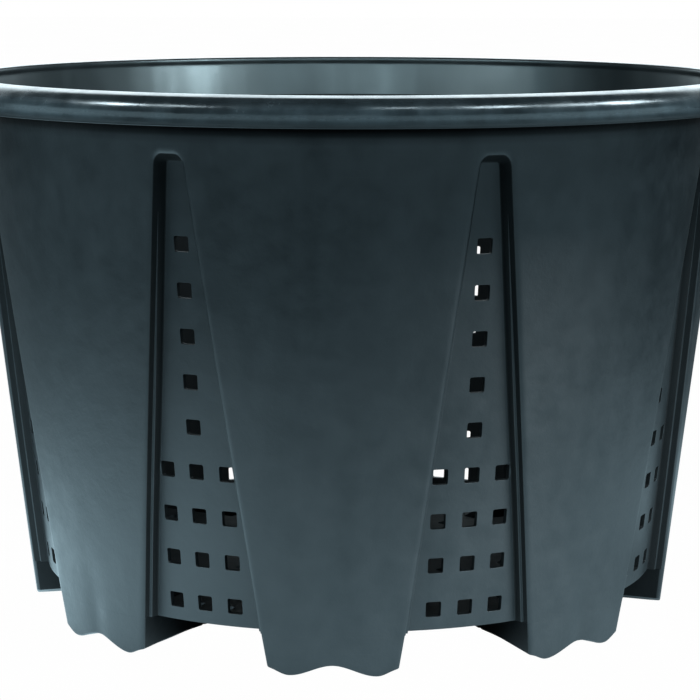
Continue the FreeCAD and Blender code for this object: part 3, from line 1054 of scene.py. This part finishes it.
leg, panel, foot = leg_shape(), panel_shape(), foot_shape()
for k in range(COUNT):
    keep(leg.piece("leg_%d" % (k + 1), FRONT + k * PITCH), "leg_wall_%d" % (k + 1))
    keep(panel.piece("panel_%d" % (k + 1), FRONT + (k + 0.5) * PITCH), "vent_panel_%d" % (k + 1))
    keep(foot.piece("leg_foot_%d" % (k + 1), FRONT + k * PITCH), "foot_%d" % (k + 1))
keep(floor_shape().piece("raised_floor"), "base_floor")
keep(turned(band_profile).piece("plain_band", 0.0, MOUTH_LIT_COPY), "upper_wall")
# painted shade: the inner rounding of the lip takes the shaded copy; its steep inner wall takes the mouth's lit copy
keep(turned(rim_profile, wall=2).piece("rim_crest", 0.0, PAINTED_SHADE, MOUTH_LIT_COPY), "rim")
keep(turned(skirt_profile).piece("rim_bead"), "rim_skirt")


# ------------------------------------------------------------------ stage
def paper(name, setup):
    mat = bpy.data.materials.new(name)
    mat.use_nodes = True
    nt = mat.node_tree
    nt.nodes.clear()
    out = nt.nodes.new("ShaderNodeOutputMaterial")
    em = nt.nodes.new("ShaderNodeEmission")
    nt.links.new(em.outputs[0], out.inputs["Surface"])
    setup(nt, em)
    return mat


def plain(nt, em):
    co = nt.nodes.new("ShaderNodeTexCoord")
    no = nt.nodes.new("ShaderNodeTexNoise")
    no.inputs["Scale"].default_value = 5.0
    mr = nt.nodes.new("ShaderNodeMapRange")
    mr.inputs["To Min"].default_value = 0.985
    mr.inputs["To Max"].default_value = 1.0
    nt.links.new(co.outputs["Object"], no.inputs["Vector"])
    nt.links.new(no.outputs["Fac"], mr.inputs["Value"])
    nt.links.new(mr.outputs["Result"], em.inputs["Strength"])


def glow(nt, em):
    """Light from the lit floor round the pot: stronger on the left, weaker in
    front, fading away from the pot and dark under it."""
    co = nt.nodes.new("ShaderNodeTexCoord")
    sep = nt.nodes.new("ShaderNodeSeparateXYZ")
    nt.links.new(co.outputs["Object"], sep.inputs["Vector"])
    ln = nt.nodes.new("ShaderNodeVectorMath")
    ln.operation = "LENGTH"
    nt.links.new(co.outputs["Object"], ln.inputs[0])

    def span(value, lo, hi, a, b):
        m = nt.nodes.new("ShaderNodeMapRange")
        m.interpolation_type = "SMOOTHSTEP"
        m.inputs["From Min"].default_value = lo
        m.inputs["From Max"].default_value = hi
        m.inputs["To Min"].default_value = a
        m.inputs["To Max"].default_value = b
        nt.links.new(value, m.inputs["Value"])
        return m.outputs["Result"]

    def calc(op, a, b):
        m = nt.nodes.new("ShaderNodeMath")
        m.operation = op
        nt.links.new(a, m.inputs[0])
        nt.links.new(b, m.inputs[1])
        return m.outputs[0]
    near = span(ln.outputs["Value"], 0.13, 0.20, 0.0, 1.0)
    far = span(ln.outputs["Value"], 0.18, 0.63, 1.0, 0.0)
    side = calc("ADD", span(sep.outputs["X"], -0.32, 0.0, 3.25, 0.84),
                calc("ADD", span(sep.outputs["X"], 0.0, 0.14, 0.0, -0.22), span(sep.outputs["X"], 0.22, 0.40, 0.0, 0.26)))
    front_r = calc("MULTIPLY", span(sep.outputs["X"], 0.05, 0.20, 0.0, 0.40), span(sep.outputs["Y"], -0.30, -0.15, 1.0, 0.0))
    side = calc("SUBTRACT", side, front_r)
    back_r = calc("MULTIPLY", span(sep.outputs["X"], 0.05, 0.25, 0.0, 1.0), span(sep.outputs["Y"], -0.25, 0.05, 0.0, 1.0))
    back_l = calc("MULTIPLY", span(sep.outputs["X"], -0.25, -0.05, 1.0, 0.0), span(sep.outputs["Y"], -0.10, 0.15, 0.0, -0.6))
    shade = calc("SUBTRACT", span(back_l, -1.0, 0.0, 0.0, 1.0),
                 calc("MULTIPLY", back_r, span(ln.outputs["Value"], 0.21, 0.36, 0.88, -1.0)))
    broad = calc("MULTIPLY", span(ln.outputs["Value"], 0.25, 1.6, 1.0, 0.0), span(sep.outputs["X"], -0.1, 0.35, 0.49, 0.80))
    close = calc("MULTIPLY", calc("MULTIPLY", far, side), shade)
    away = calc("MULTIPLY", broad, span(back_r, 0.0, 1.0, 1.0, 0.15))
    nt.links.new(calc("MULTIPLY", near, calc("ADD", close, away)), em.inputs["Strength"])
    em.inputs["Color"].default_value = (0.62, 0.88, 1.0, 1.0)


def sheet(name, half, z, mat):
    me = bpy.data.meshes.new(name)
    me.from_pydata([(-half, -half, z), (half, -half, z), (half, half, z), (-half, half, z)], [], [(0, 1, 2, 3)])
    me.materials.append(mat)
    ob = bpy.data.objects.new(name, me)
    bpy.context.scene.collection.objects.link(ob)
    return ob


floor = sheet("studio_floor", 12.0, 0.0, paper("floor_white", plain))
floor.visible_diffuse = floor.visible_glossy = floor.visible_transmission = False
floor.visible_shadow = False
bounce = sheet("floor_bounce", 1.8, 0.0, paper("floor_lit", glow))
bounce.visible_camera = False


def card(nt, em):
    """Dimly glowing card, a little brighter towards both sides; its glow shows in the rim's outer face."""
    co = nt.nodes.new("ShaderNodeTexCoord")
    sep = nt.nodes.new("ShaderNodeSeparateXYZ")
    nt.links.new(co.outputs["Object"], sep.inputs["Vector"])
    got = []
    for lo, hi, a, b in ((-0.45, 0.0, 1.70, 1.05), (0.0, 0.40, 0.0, 0.75)):
        m = nt.nodes.new("ShaderNodeMapRange")
        m.interpolation_type = "SMOOTHSTEP"
        m.inputs["From Min"].default_value = lo
        m.inputs["From Max"].default_value = hi
        m.inputs["To Min"].default_value = a
        m.inputs["To Max"].default_value = b
        nt.links.new(sep.outputs["X"], m.inputs["Value"])
        got.append(m.outputs["Result"])
    add = nt.nodes.new("ShaderNodeMath")
    add.operation = "ADD"
    nt.links.new(got[0], add.inputs[0])
    nt.links.new(got[1], add.inputs[1])
    nt.links.new(add.outputs[0], em.inputs["Strength"])
    em.inputs["Color"].default_value = (0.62, 0.88, 1.0, 1.0)


def flag():
    """Card round the front that keeps the front lights off the outside wall, so
    that they only reach the inside of the mouth."""
    n, co_, fa = 48, [], []
    for k in range(n + 1):
        t = math.radians(-175.0 + 170.0 * k / n)
        co_ += [(0.62 * math.cos(t), 0.62 * math.sin(t), 0.235), (0.62 * math.cos(t), 0.62 * math.sin(t), 0.41)]
    for k in range(n):
        fa.append((2 * k, 2 * k + 2, 2 * k + 3, 2 * k + 1))
    me = bpy.data.meshes.new("front_flag")
    me.from_pydata(co_, [], fa)
    me.materials.append(paper("card_dim_glow", card))
    ob = bpy.data.objects.new("front_flag", me)
    bpy.context.scene.collection.objects.link(ob)
    ob.visible_camera = False


flag()


def softbox(name, loc, aim, sx, sy, radiance, tint=(1.0, 1.0, 1.0)):
    li = bpy.data.lights.new(name, "AREA")
    li.shape = "RECTANGLE"
    li.size, li.size_y = sx, sy
    li.energy = math.pi * sx * sy * radiance
    li.color = tint
    ob = bpy.data.objects.new(name, li)
    bpy.context.scene.collection.objects.link(ob)
    d = Vector(aim) - Vector(loc)
    ob.location = loc
    ob.rotation_euler = d.to_track_quat("-Z", "Y").to_euler()
    ob.visible_camera = False
    return ob


for name, x, y, sx, sy, radiance in (("top_a", -1.265, -0.326, 0.30, 0.26, 50.0),
                                     ("top_b", -0.88, -0.61, 0.30, 0.20, 13.0),
                                     ("top_c", 0.31, -0.81, 0.20, 0.16, 14.0),
                                     ("top_d", 0.80, -0.61, 0.30, 0.22, 32.0),
                                     ("top_e", 1.20, -0.27, 0.24, 0.24, 24.0),
                                     ("top_f", 1.495, 0.12, 0.34, 0.34, 48.0)):
    softbox(name, (x, y, 1.50), (x * 0.15, y * 0.15, 0.29), sx, sy, radiance, (0.78, 0.93, 1.0))
softbox("front_strip", (0.0, -2.2, 0.70), (0.0, 0.2, 0.28), 2.6, 0.40, 8.2, (0.80, 0.94, 1.0))
softbox("right_key", (1.70, -1.06, 0.52), (0.0, 0.1, 0.28), 0.90, 0.55, 38.0, (0.86, 0.96, 1.0))
softbox("left_fill", (-1.41, -1.41, 0.58), (0.0, 0.1, 0.28), 1.0, 0.46, 11.2, (0.86, 0.96, 1.0))

world = bpy.data.worlds.new("studio")
bpy.context.scene.world = world
world.use_nodes = True
wn = world.node_tree
wn.nodes.clear()
w_out = wn.nodes.new("ShaderNodeOutputWorld")
w_seen = wn.nodes.new("ShaderNodeBackground")
w_seen.inputs["Color"].default_value = (1, 1, 1, 1)
w_seen.inputs["Strength"].default_value = 1.0
w_lit = wn.nodes.new("ShaderNodeBackground")
w_lit.inputs["Color"].default_value = (0.80, 0.94, 1.0, 1)
w_co = wn.nodes.new("ShaderNodeTexCoord")
w_sep = wn.nodes.new("ShaderNodeSeparateXYZ")
wn.links.new(w_co.outputs["Generated"], w_sep.inputs["Vector"])


def w_span(socket, lo, hi, a, b):
    m = wn.nodes.new("ShaderNodeMapRange")
    m.interpolation_type = "SMOOTHSTEP"
    m.inputs["From Min"].default_value = lo
    m.inputs["From Max"].default_value = hi
    m.inputs["To Min"].default_value = a
    m.inputs["To Max"].default_value = b
    wn.links.new(w_sep.outputs[socket], m.inputs["Value"])
    return m.outputs["Result"]


def w_calc(op, a, b):
    m = wn.nodes.new("ShaderNodeMath")
    m.operation = op
    wn.links.new(a, m.inputs[0])
    if isinstance(b, float):
        m.inputs[1].default_value = b
    else:
        wn.links.new(b, m.inputs[1])
    return m.outputs[0]


# a low white backdrop behind, a dim room elsewhere
w_strip = w_calc("MULTIPLY", w_span("Z", -0.06, 0.0, 0.0, 1.0), w_span("Z", 0.42, 0.55, 1.0, 0.0))
w_wide = w_calc("MULTIPLY", w_span("Y", 0.45, 0.80, 0.0, 2.4), w_span("X", 0.15, 0.65, 1.0, 0.62))
w_all = w_calc("ADD", w_calc("MULTIPLY", w_wide, w_strip), 0.04)
wn.links.new(w_all, w_lit.inputs["Strength"])
w_mix = wn.nodes.new("ShaderNodeMixShader")
w_path = wn.nodes.new("ShaderNodeLightPath")
wn.links.new(w_path.outputs["Is Camera Ray"], w_mix.inputs[0])
wn.links.new(w_lit.outputs[0], w_mix.inputs[1])
wn.links.new(w_seen.outputs[0], w_mix.inputs[2])
wn.links.new(w_mix.outputs[0], w_out.inputs["Surface"])

# ------------------------------------------------------------------ camera
YAW, TILT, ROLL = math.radians(2.636), math.radians(9.414), math.radians(0.082)
DIST, HIGH, FOCAL = 1.3803, 0.3694, 2415.7
cam = bpy.data.cameras.new("camera")
cam.sensor_width = 36.0
cam.sensor_fit = "HORIZONTAL"
cam.lens = FOCAL / 700.0 * 36.0
cam.shift_x = (349.4 - 350.0) / 700.0 * -1.0
cam.clip_start, cam.clip_end = 0.01, 50.0
co = bpy.data.objects.new("camera", cam)
bpy.context.scene.collection.objects.link(co)
co.location = (DIST * math.sin(YAW), -DIST * math.cos(YAW), HIGH)
co.matrix_world = (Matrix.Translation(co.location) @ Matrix.Rotation(YAW, 4, "Z")
                   @ Matrix.Rotation(math.pi / 2 - TILT, 4, "X") @ Matrix.Rotation(ROLL, 4, "Z"))
bpy.context.scene.camera = co
bpy.context.scene.view_settings.view_transform = "Standard"
